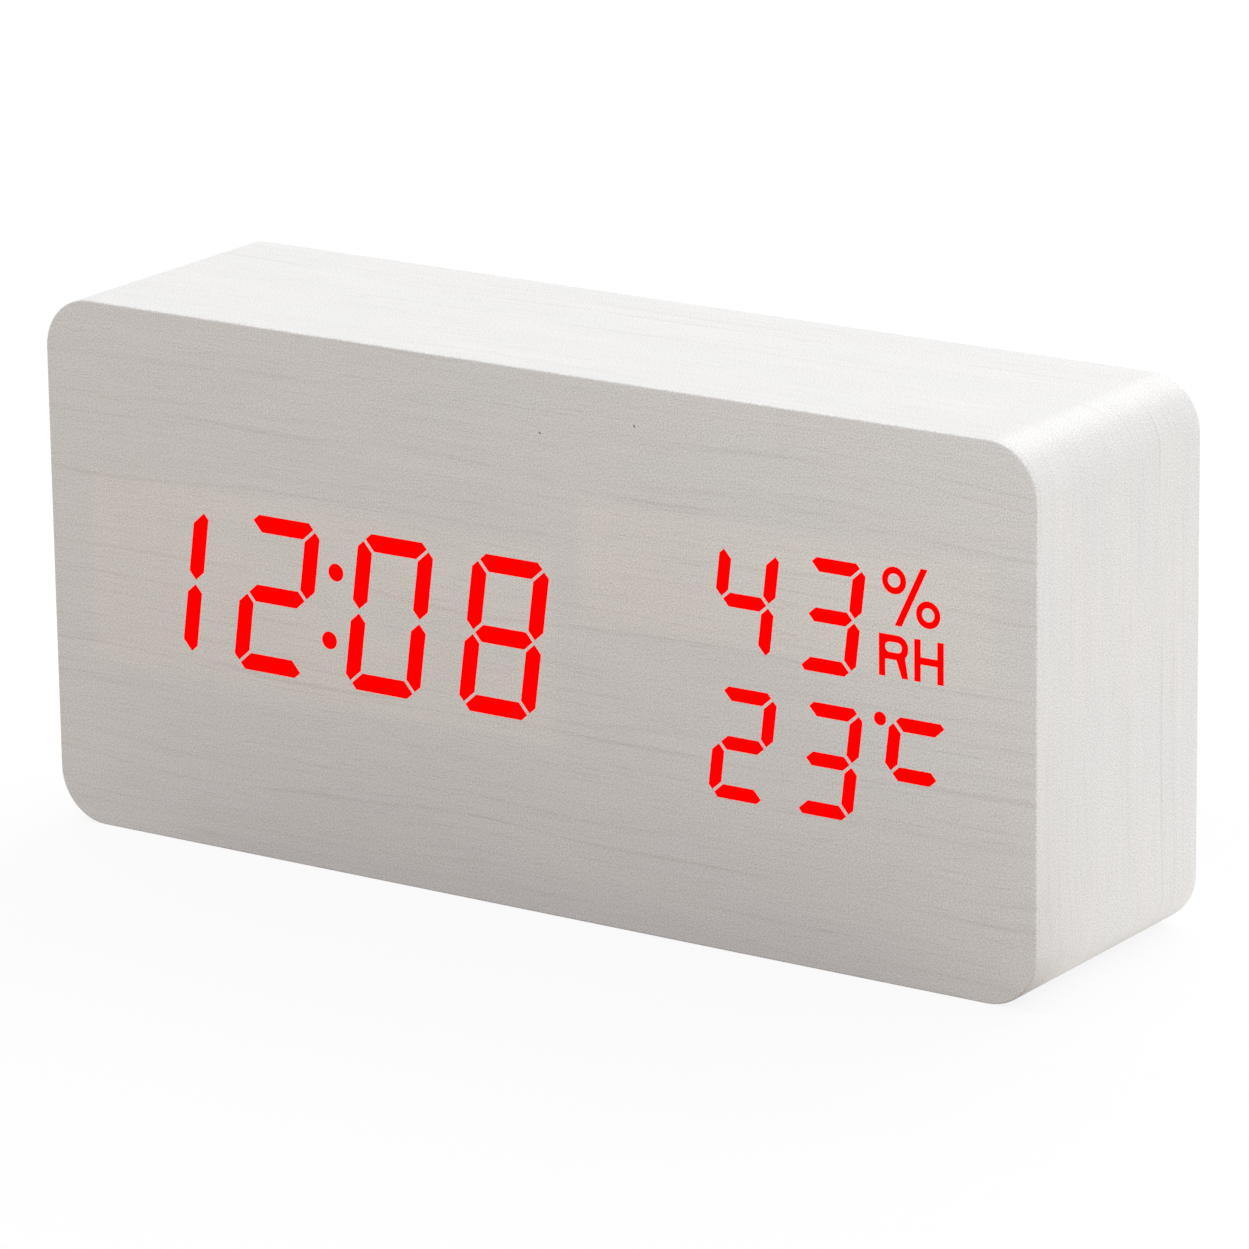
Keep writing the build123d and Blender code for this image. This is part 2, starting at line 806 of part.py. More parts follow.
def battery_door():
    """A flush door with a round lower edge, two hinge pins and grip grooves."""
    top_z = middle_z + door_height / 2
    plate = at(hinge_y, (hinge_z + top_z) / 2, Rectangle(door_thickness, top_z - hinge_z))
    edge = at(hinge_y, hinge_z, Circle(door_thickness / 2))
    half = door_width / 2
    door = along_x(plate + edge, bay_x - half, bay_x + half)
    rim = door.edges().filter_by(Axis.X).group_by(Axis.Z)[-1].sort_by(Axis.Y)[-1]
    door = fillet(rim, door_edge_radius)
    pin = at(hinge_y, hinge_z, Circle(door_pin_diameter / 2))
    pin_half = half + slide_clearance + door_pin_reach
    door += along_x(pin, bay_x - pin_half, bay_x - half)
    door += along_x(pin, bay_x + half, bay_x + pin_half)
    for index in range(door_groove_count):
        z = top_z - door_groove_drop - index * door_groove_pitch
        groove = at(bay_x, z, SlotOverall(door_groove_length, door_groove_width))
        door -= slab(groove, back_face_y - door_groove_depth, back_face_y + overrun)
    return door


def battery_cell(index):
    """A cell lying along X with its nub against a flat contact."""
    sense = cell_sense(index)
    tip = bay_x + sense * (bay_length / 2 - contact_thickness)
    shoulder = tip - sense * cell_nub_height
    base = tip - sense * cell_length
    outline = at(cell_y, cell_z(index), Circle(cell_diameter / 2))
    can = along_x(outline, min(base, shoulder), max(base, shoulder))
    can = fillet(can.edges(), cell_edge_radius)
    nub = at(cell_y, cell_z(index), Circle(cell_nub_diameter / 2))
    return can + along_x(nub, min(shoulder, tip), max(shoulder, tip))


def contact(side, indexes, tail):
    """A contact plate at one end of the bay, with a sprung bow for each cell's flat end."""
    wall = bay_x + side * bay_length / 2
    face = wall - side * contact_thickness
    heights = [cell_z(index) for index in indexes]
    low = min(heights) - contact_width / 2
    high = max(heights) + contact_width / 2
    plate = at((wall + face) / 2, (low + high) / 2, Rectangle(contact_thickness, high - low))
    part = slab(plate, bay_floor_y, bay_floor_y + contact_height)
    for index in indexes:
        if cell_sense(index) != side:
            part += spring_bow(face, -side, cell_z(index))
    if tail:
        part += slab(tail_slot(indexes[0], 0), bay_front_y - tail_length, bay_floor_y)
    return part


def spring_bow(face, inward, z):
    """A bowed strip that presses on a cell's flat end."""
    bow = []
    for inset in (0, contact_thickness):
        foot = spring_foot / 2 - 2 * inset
        top = spring_top / 2 - inset / 2
        reach = inward * (spring_reach - inset)
        points = [(0, -foot), (reach, -top), (reach, top), (0, foot)]
        bow.append(polygon([(face + x, cell_y + y) for x, y in points]))
    return extrude(Pos(0, 0, z - spring_width / 2) * (bow[0] - bow[1]), amount=spring_width)


def battery_lead(index):
    """A wire from a contact's tail to the front of the control board."""
    wall, inward = tail_end(index)
    start_x = max(wall, wall + inward * contact_thickness)
    end_x = control_x - control_width / 2 + lead_inset
    y = bay_front_y - tail_length / 2
    z = cell_z(index)
    route = FilletPolyline((start_x, y, z), (end_x, y, z), (end_x, control_front_y, z), radius=lead_bend)
    section = Plane(origin=route @ 0, z_dir=route % 0) * Circle(lead_diameter / 2)
    return sweep(section, path=route)


def battery_pieces():
    """Door, cells, contacts and leads."""
    last = cell_count - 1
    pieces = {"battery_door": battery_door()}
    for index in range(cell_count):
        pieces[f"battery_cell_{index + 1}"] = battery_cell(index)
    pieces["positive_contact"] = contact(1, [0], True)
    pieces["negative_contact"] = contact(-1, [last], True)
    for index in range(last):
        side = -cell_sense(index)
        pieces[f"link_contact_{index + 1}"] = contact(side, [index, index + 1], False)
    pieces["positive_lead"] = battery_lead(0)
    pieces["negative_lead"] = battery_lead(last)
    return pieces


def button_symbol(name):
    """A dot for set, and triangles for up and down."""
    if name == "set":
        return Circle(symbol_size / 2)
    rise = symbol_size / 2 if name == "up" else -symbol_size / 2
    return polygon([(-symbol_size / 2, -rise), (symbol_size / 2, -rise), (0, rise)])


def button(index):
    """A cap with a flange behind the panel and a nose on its switch."""
    x, z = button_place(index)
    top_y = recess_floor_y + button_proud
    flange_front_y = panel_front_y - button_flange_thickness
    cap = slab(at(x, z, SlotOverall(button_length, button_width)), panel_front_y, top_y)
    cap = fillet(cap.faces().sort_by(Axis.Y)[-1].edges(), button_edge_radius)
    flange = SlotOverall(button_length + 2 * button_flange, button_width + 2 * button_flange)
    cap += slab(at(x, z, flange), flange_front_y, panel_front_y)
    cap += slab(at(x, z, Circle(button_nose_diameter / 2)), plunger_top_y, flange_front_y)
    symbol = at(x, z, button_symbol(button_names[index]))
    return cap - slab(symbol, top_y - symbol_depth, top_y + overrun)


def switch_body(index):
    """A switch housing with the bore that its plunger slides in."""
    x, z = button_place(index)
    bore = at(x, z, Circle(plunger_diameter / 2 + pin_clearance))
    body = slab(at(x, z, Rectangle(switch_side, switch_side)), control_back_y, switch_top_y)
    return body - slab(bore, switch_top_y - plunger_bore, switch_top_y + overrun)


def switch_plunger(index):
    """The plunger under a button, which can still go down by the travel."""
    x, z = button_place(index)
    foot_y = switch_top_y - plunger_bore + button_travel + plunger_spare
    return slab(at(x, z, Circle(plunger_diameter / 2)), foot_y, plunger_top_y)


def link_socket(z, foot, top):
    """A slotted socket for the flat cable, standing on a board."""
    body = slab(at(control_x, z, Rectangle(socket_length, socket_width)), min(foot, top), max(foot, top))
    slot = Rectangle(link_width + 2 * seat_clearance, link_thickness + 2 * seat_clearance)
    floor = foot + math.copysign(socket_wall, top - foot)
    past = top + math.copysign(overrun, top - foot)
    return body - slab(at(control_x, z, slot), min(floor, past), max(floor, past))


def link_pieces():
    """The flat cable and the sockets at its two ends."""
    low_z = middle_z - link_rise
    high_z = middle_z + link_rise
    front_top = circuit_back_y + socket_height
    rear_top = control_front_y - socket_height
    middle_y = (front_top + rear_top) / 2
    bend = min(link_bend_share * (rear_top - front_top) / 2, link_bend_share * link_rise)
    route = FilletPolyline(
        (control_x, circuit_back_y + socket_wall, high_z),
        (control_x, middle_y, high_z),
        (control_x, middle_y, low_z),
        (control_x, control_front_y - socket_wall, low_z),
        radius=bend,
    )
    start = Plane(origin=route @ 0, x_dir=(1, 0, 0), z_dir=route % 0)
    return {
        "display_link_socket": link_socket(high_z, circuit_back_y, front_top),
        "control_link_socket": link_socket(low_z, control_front_y, rear_top),
        "link_cable": sweep(start * Rectangle(link_width, link_thickness), path=route),
    }


def inlet_pieces():
    """The power inlet's metal shell and the tongue inside it."""
    mouth_y = recess_floor_y - inlet_setback
    bore = inlet_outline(inlet_wall)
    blade = Rectangle(tongue_width, tongue_thickness)
    base = slab(bore, control_back_y, control_back_y + inlet_base)
    blade_place = at(control_x, middle_z + inlet_z + tongue_rise, blade)
    return {
        "inlet_shell": slab(inlet_outline(0) - bore, control_back_y, mouth_y),
        "inlet_tongue": base + slab(blade_place, control_back_y, mouth_y - tongue_setback),
    }


def control_parts():
    """Sensor, buzzer and microphone on the control board."""
    sensor_top = control_back_y + sensor_height
    sensor_place = at(control_x + sensor_x, middle_z + sensor_z, Rectangle(sensor_width, sensor_length))
    sensor = slab(sensor_place, control_back_y, sensor_top)
    for slot in sensor_slots(sensor_slot_length):
        sensor -= slab(slot, sensor_top - sensor_slot_depth, sensor_top + overrun)
    buzzer_top = control_back_y + buzzer_height
    buzzer_place = (control_x + buzzer_x, middle_z + buzzer_z)
    buzzer = slab(at(*buzzer_place, Circle(buzzer_diameter / 2)), control_back_y, buzzer_top)
    buzzer_hole = at(*buzzer_place, Circle(buzzer_hole_diameter / 2))
    microphone_top = control_back_y + microphone_height
    microphone_place = (control_x + microphone_x, middle_z + microphone_z)
    microphone = slab(at(*microphone_place, Circle(microphone_diameter / 2)), control_back_y, microphone_top)
    felt = at(*microphone_place, Circle(microphone_felt_diameter / 2))
    felt_front = microphone_top - microphone_felt_depth
    return {
        "climate_sensor": sensor,
        "buzzer": buzzer - slab(buzzer_hole, buzzer_top - buzzer_hole_depth, buzzer_top + overrun),
        "microphone": microphone - slab(felt, felt_front, microphone_top + overrun),
    }


def control_pieces():
    """The rear panel, its board and its screws, and the buttons on their switches."""
    sheet = at(control_x, middle_z, Rectangle(control_width, control_height))
    board = slab(sheet, control_front_y, control_back_y)
    for x, z in control_screw_places():
        board -= screw_hole(x, z, control_front_y - overrun, control_back_y + overrun)
    control_tip_y = control_front_y + control_screw_length
    panel_seat_y = back_face_y - panel_screw_sink
    panel_tip_y = panel_seat_y - panel_screw_length
    control_screws = [screw(x, z, control_front_y, control_tip_y) for x, z in control_screw_places()]
    panel_screws = [screw(x, z, panel_seat_y, panel_tip_y) for x, z in panel_screw_places()]
    pieces = {
        "rear_panel": rear_panel(),
        "control_board": board,
        "control_board_screws": group(control_screws),
        "rear_panel_screws": group(panel_screws),
    }
    for index, name in enumerate(button_names):
        pieces[f"{name}_button"] = button(index)
        pieces[f"{name}_plunger"] = switch_plunger(index)
        pieces[f"{name}_switch"] = switch_body(index)
    return pieces


os.makedirs("parts", exist_ok=True)
sections = (
    case_pieces,
    display_pieces,
    display_parts,
    control_pieces,
    battery_pieces,
    link_pieces,
    inlet_pieces,
    control_parts,
)
for section in sections:
    for node, shape in section().items():
        export_step(shape, f"parts/{node}.step")
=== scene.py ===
import json
import math

import bmesh
import bpy
from mathutils import Matrix, Vector


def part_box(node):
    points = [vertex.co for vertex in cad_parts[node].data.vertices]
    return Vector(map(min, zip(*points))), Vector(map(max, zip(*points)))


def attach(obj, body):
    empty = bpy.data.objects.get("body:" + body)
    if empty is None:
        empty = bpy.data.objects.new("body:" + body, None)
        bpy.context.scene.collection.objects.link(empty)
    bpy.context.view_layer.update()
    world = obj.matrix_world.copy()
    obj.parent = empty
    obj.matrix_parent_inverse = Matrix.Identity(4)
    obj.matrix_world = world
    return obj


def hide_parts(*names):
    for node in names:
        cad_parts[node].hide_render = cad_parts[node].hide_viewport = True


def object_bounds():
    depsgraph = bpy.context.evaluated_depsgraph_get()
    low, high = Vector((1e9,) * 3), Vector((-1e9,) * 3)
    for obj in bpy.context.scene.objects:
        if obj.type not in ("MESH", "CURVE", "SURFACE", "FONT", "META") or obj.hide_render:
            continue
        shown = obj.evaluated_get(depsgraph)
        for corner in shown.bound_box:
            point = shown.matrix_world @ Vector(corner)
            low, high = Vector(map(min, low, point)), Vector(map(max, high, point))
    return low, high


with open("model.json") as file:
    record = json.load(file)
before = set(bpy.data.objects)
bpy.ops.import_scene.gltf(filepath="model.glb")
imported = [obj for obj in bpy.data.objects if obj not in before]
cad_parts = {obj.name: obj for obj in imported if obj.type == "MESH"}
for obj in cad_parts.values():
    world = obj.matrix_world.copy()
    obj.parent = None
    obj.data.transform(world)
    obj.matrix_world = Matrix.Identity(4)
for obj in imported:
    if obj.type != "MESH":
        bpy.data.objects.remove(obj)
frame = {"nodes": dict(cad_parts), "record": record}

# LED desk clock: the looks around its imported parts. Lengths are in metres, angles in degrees and colours in
# linear light. +X runs to the right seen from the front, +Y to the back and +Z up.

cad_low, cad_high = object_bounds()
mm = 0.001
full_turn = math.radians(360)

# Camera, from the perspective of the photograph
camera_azimuth = 34.296
camera_elevation = 16.167
camera_roll = -0.762
camera_distance = 932.74 * mm
camera_aim = Vector((0, 0, 35 * mm))
camera_slide = -1.733 * mm
camera_lift = -1.966 * mm
camera_lens = 210.6
camera_sensor = 36.0

# Studio: a white floor with painted shade before the clock in the light it throws back, an even sky and one
# soft lamp above and behind, whose sheen lies along the fold between the top and the right side
studio_white = (1.0, 1.0, 1.0)
studio_white_strength = 1.0
floor_size = 8.0
floor_drop = 0.05 * mm
floor_colour = (1.0, 0.97, 0.94)
# Painted shade in the light the floor throws back: a darker colour before the clock and a brown painted shadow
# at its foot, both fading out towards the right
floor_front_shade_colour = (0.35, 0.263, 0.19)
floor_front_edge = 8.5 * mm
floor_shade_colour = (0.13, 0.03, 0.0)
floor_shade_reach = 34.0 * mm
floor_clear_start = -10.0 * mm
floor_clear_end = 85.0 * mm
floor_shadow_share = 0.14
sky_colour = (0.975, 0.99, 1.0)
sky_strength = 0.865
lamp_direction = Vector((-0.03, 0.72, 0.68))
lamp_distance = 1.3
lamp_size = 0.8
lamp_power = 4.8
lamp_colour = (1.0, 0.995, 0.985)

# Noise: how many finer layers lie on the patches of a cloud, and the tone that patterns vary about
smooth_cloud = 1.0
soft_cloud = 2.0
fine_cloud = 3.0
rich_cloud = 4.0
middle_tone = 0.5

# Case film
film_corner_radius = 7.0 * mm
film_corner_segments = 32
film_rim_radius = 0.2 * mm
film_crease = 40
outline_digits = 6
film_warm = (0.854, 0.832, 0.816)
film_cool = (0.842, 0.829, 0.818)
film_line_depth = 0.26
film_stipple = 0.9
film_tone_range = (0.85, 1.1)
film_gloss = (0.5, 0.4)
film_bump = 0.12
film_bump_height = 0.03 * mm
film_ior = 1.5
back_film_offset = 0.5

# Printed grain: lines and finer hairs, then the size of each pattern's patches along and across the grain. The
# print is flat, so their third size counts for nothing.
grain_tint = (0.62, 0.53, 0.45)
grain_wander = 8.0 * mm
grain_drift_size = (60.0 * mm, 20.0 * mm, 1.0)
grain_fade_range = (-0.1, 0.12)
grain_line_spacing = 3.6 * mm
grain_line_width = 0.5 * mm
grain_line_length = 60.0 * mm
grain_hair_spacing = 1.5 * mm
grain_hair_width = 0.16 * mm
grain_hair_length = 24.0 * mm
pore_size = (6.0 * mm, 0.3 * mm, 1.0)
pore_range = (0.1, 0.2)
patch_size = (26.0 * mm, 6.0 * mm, 1.0)
streak_size = (30.0 * mm, 0.8 * mm, 1.0)
stipple_size = (0.21 * mm, 0.19 * mm, 1.0)
warmth_size = (22.0 * mm, 8.0 * mm, 1.0)
warmth_range = (-0.16, 0.16)

# Shares of the patterns in the print's dark marks, in its tone and in its touch
line_dark = 0.6
hair_dark = 0.7
pore_dark = 0.35
patch_tone = 0.06
streak_tone = 0.08
mark_tone = -0.05
streak_height = 0.4
stipple_height = 0.3
mark_height = -0.4

# Specks in the front film, and its pale areas over the two displays: left, right, bottom and top
speck_radius = 0.22 * mm
speck_places = ((3.0 * mm, 63.0 * mm), (17.2 * mm, 65.8 * mm))
speck_colour = (0.3, 0.26, 0.23)
display_areas = (
    (-68.5 * mm, 4.5 * mm, 22.5 * mm, 48.5 * mm),
    (8.5 * mm, 69.0 * mm, 39.5 * mm, 55.5 * mm),
)
display_area_tint = (1.05, 1.035, 1.01)
display_area_edge = 1.2 * mm

# Film lit from behind
lit_line_depth = 0.1
lit_stipple = 0.1
lit_tone_range = (0.8, 1.1)
lit_light_range = (0.9, 1.0)
lit_strength = 1.15
lit_roughness = 0.6

# Skin of moulded plastic, in grains, and the plastics: dark and light tone, roughness range, grain and depth
skin_grain_size = (1.0, 1.0, 1.0)
skin_flow_size = (60.0, 60.0, 60.0)
skin_pit_scale = 0.8
skin_pit_height = 0.5
skin_grain_height = 1.0
skin_grain_tone = 1.7
skin_flow_tone = 0.8
skin_tone_range = (0.1, 0.9)
plastics = {
    "diffuser_white": ((0.78, 0.78, 0.78), (0.84, 0.84, 0.84), (0.4, 0.5), 0.15 * mm, 0.1),
    "mask_white": ((0.74, 0.74, 0.72), (0.82, 0.82, 0.8), (0.35, 0.5), 0.2 * mm, 0.1),
    "lamp_white": ((0.7, 0.6, 0.35), (0.8, 0.72, 0.5), (0.2, 0.3), 0.2 * mm, 0.05),
    "chip_black": ((0.01, 0.01, 0.01), (0.018, 0.018, 0.018), (0.5, 0.65), 0.15 * mm, 0.2),
    "panel_black": ((0.002, 0.002, 0.002), (0.046, 0.046, 0.046), (0.42, 0.6), 0.34 * mm, 0.2),
    "button_grey": ((0.042, 0.042, 0.044), (0.085, 0.085, 0.088), (0.36, 0.48), 0.22 * mm, 0.12),
    "sensor_white": ((0.62, 0.68, 0.74), (0.7, 0.75, 0.8), (0.4, 0.5), 0.2 * mm, 0.12),
    "socket_ivory": ((0.68, 0.62, 0.48), (0.76, 0.71, 0.57), (0.4, 0.5), 0.2 * mm, 0.1),
    "cable_white": ((0.76, 0.76, 0.76), (0.82, 0.82, 0.82), (0.3, 0.4), 0.3 * mm, 0.06),
    "lead_red": ((0.4, 0.012, 0.012), (0.5, 0.018, 0.016), (0.35, 0.45), 0.25 * mm, 0.08),
    "lead_black": ((0.008, 0.008, 0.008), (0.014, 0.014, 0.014), (0.35, 0.45), 0.25 * mm, 0.08),
}

# Skin of metal, and the metals: dark and light tone and roughness range
metal_line_size = (6.0 * mm, 0.08 * mm, 0.08 * mm)
metal_patch_size = (1.6 * mm, 1.6 * mm, 1.6 * mm)
metal_line_tone = 0.8
metal_patch_tone = 0.8
metal_line_height = 1.0
metal_bump = 0.1
metal_bump_height = 0.02 * mm
metals = {
    "bright_metal": ((0.56, 0.56, 0.55), (0.7, 0.69, 0.67), (0.2, 0.34)),
    "can_metal": ((0.6, 0.6, 0.61), (0.72, 0.72, 0.74), (0.26, 0.4)),
    "screw_black": ((0.035, 0.035, 0.04), (0.07, 0.07, 0.075), (0.3, 0.45)),
    "screw_zinc": ((0.5, 0.5, 0.48), (0.62, 0.62, 0.6), (0.28, 0.42)),
}

# Fibreboard of the case
fibre_size = (0.9 * mm, 0.25 * mm, 0.3 * mm)
flake_size = (2.6 * mm, 2.6 * mm, 2.6 * mm)
fibre_tone = 1.2
flake_tone = 0.6
fibreboard_dark = (0.26, 0.16, 0.085)
fibreboard_light = (0.5, 0.36, 0.22)
fibre_bump = 0.4
fibre_bump_height = 0.1 * mm
fibreboard_roughness = 0.9

# Circuit boards
track_scale = 320.0
track_scatter = 0.8
track_edge = (0.12, 0.08)
weave_size = (0.5 * mm, 0.5 * mm, 0.5 * mm)
weave_range = (-0.3, 0.3)
board_green = (0.006, 0.07, 0.026)
track_green = (0.02, 0.16, 0.06)
board_gloss = (0.28, 0.42)
track_bump = 0.3
track_bump_height = 0.05 * mm

# Moulded edges of the rear panel, inside its outer rim, and of its battery door
soft_edge_segments = 3
soft_edge_touch = 0.02 * mm
soft_edge_merge = 0.002 * mm
soft_edge_angle = 60
panel_edge_radius = 0.35 * mm
panel_soft_reach = 48.5 * mm
door_edge_radius = 0.2 * mm
panel_crease = 40

# Battery cells: the side that each nub points to, 1 for the right and -1 for the left, and their sizes
cell_senses = {"battery_cell_1": 1, "battery_cell_2": -1, "battery_cell_3": 1}
cell_radius = 5.25 * mm
cell_length = 44.5 * mm
cell_nub_radius = 1.9 * mm
cell_nub_height = 0.9 * mm
cell_nub_round = 0.25 * mm
cell_sink = 0.25 * mm
cell_gasket_radius = 2.7 * mm
cell_lip_radius = 4.45 * mm
cell_sleeve_round = 0.6 * mm
cell_base_sink = 0.1 * mm
cell_steps = 64
cell_merge = 0.001 * mm
cell_crease = 50

# Sleeve of the cells: a band and two stripes, as shares of a cell's length
cell_band_share = 0.2
cell_stripe_share = 0.012
cell_stripe_starts = (0.212, 0.9)
cell_print_edge = 0.002
sleeve_dark = (0.008, 0.014, 0.03)
sleeve_light = (0.014, 0.024, 0.045)
copper_dark = (0.42, 0.2, 0.075)
copper_light = (0.52, 0.27, 0.11)
stripe_colour = (0.75, 0.74, 0.7)
band_metallic = 0.6
speckle_size = (0.12 * mm, 0.12 * mm, 0.12 * mm)
speckle_range = (-0.3, 0.3)
sleeve_gloss = (0.22, 0.3)


def rgba(colour):
    """A colour with full cover."""
    return (*colour, 1.0)


def add(tree, kind, inputs=None, **settings):
    """A shader node with its settings made and its inputs set or linked."""
    node = tree.nodes.new("ShaderNode" + kind)
    for name, value in settings.items():
        setattr(node, name, value)
    for key, value in (inputs or {}).items():
        if isinstance(value, bpy.types.NodeSocket):
            tree.links.new(value, node.inputs[key])
        else:
            node.inputs[key].default_value = value
    return node


def calculate(tree, operation, *values):
    """A number worked out from other numbers."""
    return add(tree, "Math", dict(enumerate(values)), operation=operation).outputs[0]


def ease(tree, value, low, high, start=0.0, end=1.0):
    """A number that eases from start to end while another goes from low to high."""
    inputs = {"Value": value, "From Min": low, "From Max": high, "To Min": start, "To Max": end}
    return add(tree, "MapRange", inputs, interpolation_type="SMOOTHSTEP").outputs[0]


def colour_mix(tree, factor, first, second, kind="MIX"):
    """A colour between two, or one laid over the other, by the colour sockets of a Mix node."""
    inputs = {0: factor, 6: first, 7: second}
    return add(tree, "Mix", inputs, data_type="RGBA", blend_type=kind).outputs[2]


def cloud(tree, position, sizes, detail=soft_cloud):
    """Soft noise about zero, with patches of the given size along each axis."""
    shares = tuple(1 / size for size in sizes)
    scaled = add(tree, "VectorMath", {0: position, 1: shares}, operation="MULTIPLY").outputs[0]
    noise = add(tree, "TexNoise", {"Vector": scaled, "Scale": 1.0, "Detail": detail})
    return calculate(tree, "SUBTRACT", noise.outputs[0], middle_tone)


def weighted_sum(tree, start, terms):
    """A number with shares of others added to it."""
    total = start
    for value, share in terms:
        total = calculate(tree, "MULTIPLY_ADD", value, share, total)
    return total


def object_place(tree):
    """Where a point lies in the clock's own frame."""
    return add(tree, "TexCoord").outputs["Object"]


def split(tree, position):
    """The numbers X, Y and Z of a position."""
    return add(tree, "SeparateXYZ", {0: position}).outputs


def flat_place(tree, across, up):
    """A flat position, whose X is along the grain."""
    return add(tree, "CombineXYZ", {"X": across, "Y": up}).outputs[0]


def new_group(name, inputs, outputs):
    """An empty node group with its named sockets."""
    tree = bpy.data.node_groups.new(name, "ShaderNodeTree")
    for socket, kind in inputs.items():
        tree.interface.new_socket(name=socket, in_out="INPUT", socket_type="NodeSocket" + kind)
    for socket, kind in outputs.items():
        tree.interface.new_socket(name=socket, in_out="OUTPUT", socket_type="NodeSocket" + kind)
    given = tree.nodes.new("NodeGroupInput").outputs
    result = tree.nodes.new("NodeGroupOutput").inputs
    return tree, given, result


def use_group(tree, group, inputs):
    """A node group placed in a material with its own values."""
    return add(tree, "Group", inputs, node_tree=group).outputs


def grain_lines(tree, position, spacing, width, length):
    """Thin dark lines along the grain, unevenly spaced, that wave, fade and come back."""
    across = split(tree, position)["Y"]
    drift = cloud(tree, position, grain_drift_size, smooth_cloud)
    bent = calculate(tree, "MULTIPLY_ADD", drift, grain_wander, across)
    turn = calculate(tree, "DIVIDE", bent, spacing)
    cells = add(tree, "TexVoronoi", {"W": turn, "Scale": 1.0}, voronoi_dimensions="1D").outputs
    line = ease(tree, cells["Distance"], width / spacing, 0.0)
    weight = add(tree, "SeparateColor", {0: cells["Color"]}).outputs[0]
    fading = cloud(tree, position, (length / 2, spacing / 2, 1.0), rich_cloud)
    strength = ease(tree, fading, *grain_fade_range)
    return calculate(tree, "MULTIPLY", calculate(tree, "MULTIPLY", line, weight), strength)


def film_print_group():
    """Whitewashed wood print: waving lines, fine hairs, pores, soft patches of tone and a stipple."""
    inputs = {"Position": "Vector", "Line Depth": "Float", "Stipple": "Float"}
    outputs = {"Color": "Color", "Tone": "Float", "Height": "Float"}
    tree, given, result = new_group("film_print", inputs, outputs)
    position = given["Position"]
    lines = grain_lines(tree, position, grain_line_spacing, grain_line_width, grain_line_length)
    hairs = grain_lines(tree, position, grain_hair_spacing, grain_hair_width, grain_hair_length)
    pores = ease(tree, cloud(tree, position, pore_size, smooth_cloud), *pore_range)
    patches = cloud(tree, position, patch_size)
    streaks = cloud(tree, position, streak_size, fine_cloud)
    stipple = cloud(tree, position, stipple_size, smooth_cloud)
    marks = weighted_sum(tree, 0.0, [(lines, line_dark), (hairs, hair_dark), (pores, pore_dark)])
    tone = weighted_sum(tree, 1.0, [(patches, patch_tone), (streaks, streak_tone), (marks, mark_tone)])
    tone = calculate(tree, "MULTIPLY_ADD", stipple, given["Stipple"], tone)
    warmth = ease(tree, cloud(tree, position, warmth_size), *warmth_range)
    hue = colour_mix(tree, warmth, rgba(film_cool), rgba(film_warm))
    shade = calculate(tree, "MULTIPLY", marks, given["Line Depth"])
    hue = colour_mix(tree, shade, hue, rgba(grain_tint), "MULTIPLY")
    colour = add(tree, "VectorMath", {0: hue, "Scale": tone}, operation="SCALE").outputs[0]
    touch = [(streaks, streak_height), (stipple, stipple_height), (marks, mark_height)]
    height = weighted_sum(tree, middle_tone, touch)
    tree.links.new(colour, result["Color"])
    tree.links.new(tone, result["Tone"])
    tree.links.new(height, result["Height"])
    return tree


def moulded_skin_group():
    """The fine spark-eroded skin of moulded plastic."""
    inputs = {"Position": "Vector", "Grain Size": "Float"}
    tree, given, result = new_group("moulded_skin", inputs, {"Tone": "Float", "Height": "Float"})
    share = calculate(tree, "DIVIDE", 1.0, given["Grain Size"])
    scaled = add(tree, "VectorMath", {0: given["Position"], "Scale": share}, operation="SCALE").outputs[0]
    pits = add(tree, "TexVoronoi", {"Vector": scaled, "Scale": skin_pit_scale}, feature="SMOOTH_F1")
    grain = cloud(tree, scaled, skin_grain_size, fine_cloud)
    flow = cloud(tree, scaled, skin_flow_size)
    touch = [(pits.outputs["Distance"], skin_pit_height), (grain, skin_grain_height)]
    tones = [(grain, skin_grain_tone), (flow, skin_flow_tone)]
    tree.links.new(weighted_sum(tree, 0.0, touch), result["Height"])
    tree.links.new(weighted_sum(tree, middle_tone, tones), result["Tone"])
    return tree


def metal_skin_group():
    """Rolled or turned metal: fine lines one way and dull patches."""
    inputs = {"Position": "Vector"}
    tree, given, result = new_group("metal_skin", inputs, {"Tone": "Float", "Height": "Float"})
    lines = cloud(tree, given["Position"], metal_line_size, fine_cloud)
    patches = cloud(tree, given["Position"], metal_patch_size)
    tones = [(lines, metal_line_tone), (patches, metal_patch_tone)]
    tree.links.new(weighted_sum(tree, middle_tone, tones), result["Tone"])
    tree.links.new(weighted_sum(tree, middle_tone, [(lines, metal_line_height)]), result["Height"])
    return tree


film_print = film_print_group()
moulded_skin = moulded_skin_group()
metal_skin = metal_skin_group()


def empty_material(name):
    """A material with no nodes yet."""
    material = bpy.data.materials.new(name)
    material.use_nodes = True
    material.node_tree.nodes.clear()
    return material, material.node_tree


def new_material(name):
    """A material with nothing but its main shader."""
    material, tree = empty_material(name)
    shader = add(tree, "BsdfPrincipled")
    add(tree, "OutputMaterial", {"Surface": shader.outputs[0]})
    return material, tree, shader.inputs


def raise_skin(tree, sockets, height, strength, distance):
    """Bump a surface by a height."""
    bump = add(tree, "Bump", {"Height": height, "Strength": strength, "Distance": distance})
    tree.links.new(bump.outputs[0], sockets["Normal"])


